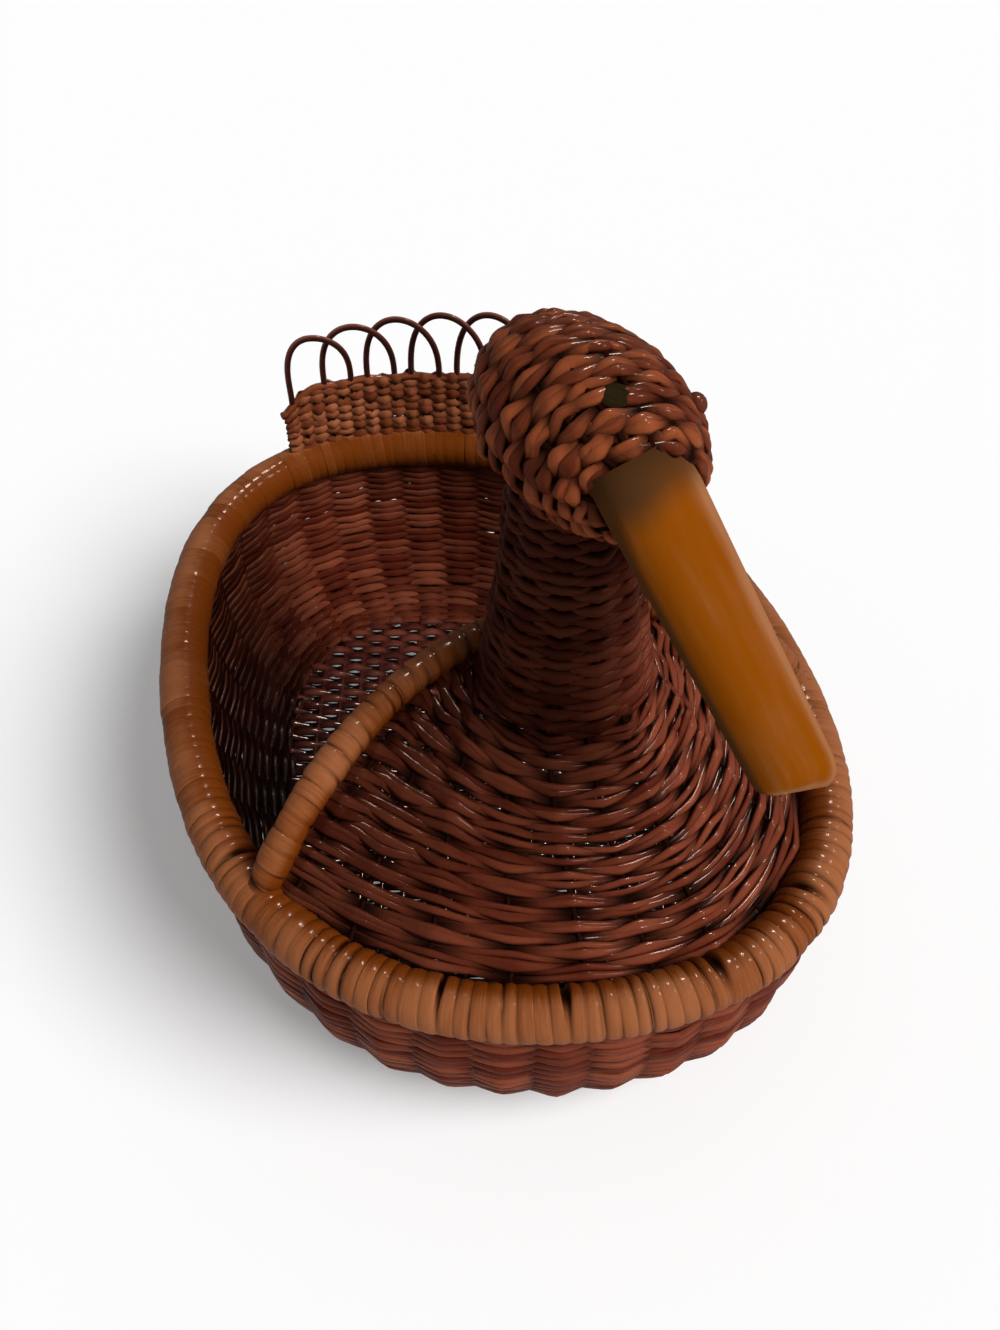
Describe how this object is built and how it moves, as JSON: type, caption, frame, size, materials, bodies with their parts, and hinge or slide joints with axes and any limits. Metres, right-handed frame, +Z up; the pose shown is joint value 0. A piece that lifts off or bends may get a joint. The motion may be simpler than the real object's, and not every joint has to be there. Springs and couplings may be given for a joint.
{
  "type": "duck-shaped wicker basket",
  "caption": "Oval woven cane basket shaped as a duck, with a bound rim, a woven breast, neck and head with a wooden bill, and a looped tail.",
  "frame": {"origin": "middle of the flat underside of the base, on the surface that the basket stands on", "axes": "+Z up, -Y to the duck's front, +X to the duck's left side"},
  "size_m": [0.1602, 0.2102, 0.1697],
  "materials": {
    "weave": "varnished dark red-brown cane weave",
    "binding": "varnished honey-brown flat cane",
    "hoop": "plain cane rod",
    "spoke": "stained cane rod",
    "loop": "varnished dark cane",
    "bill": "varnished ochre wood",
    "eye": "dark bead"
  },
  "bodies": {
    "root": {"base_weave": "weave", "wall_foot": "weave", "body_wall": "weave", "long_spoke_01": "spoke", "long_spoke_02": "spoke", "long_spoke_03": "spoke", "long_spoke_04": "spoke", "long_spoke_05": "spoke", "long_spoke_06": "spoke", "long_spoke_07": "spoke", "short_spoke_01": "spoke", "short_spoke_02": "spoke", "short_spoke_03": "spoke", "short_spoke_04": "spoke", "short_spoke_05": "spoke", "short_spoke_06": "spoke", "short_spoke_07": "spoke", "short_spoke_08": "spoke", "short_spoke_09": "spoke", "short_spoke_10": "spoke", "short_spoke_11": "spoke", "short_spoke_12": "spoke", "short_spoke_13": "spoke", "rim_hoop": "hoop", "rim_wrap": "binding", "arch_hoop": "hoop", "arch_wrap": "binding", "breast_weave": "weave", "neck_weave": "weave", "head_weave": "weave", "bill": "bill", "eye_left": "eye", "eye_right": "eye", "tail_weave": "weave", "tail_loop_1": "loop", "tail_loop_2": "loop", "tail_loop_3": "loop", "tail_loop_4": "loop", "tail_loop_5": "loop"}
  },
  "joints": []
}
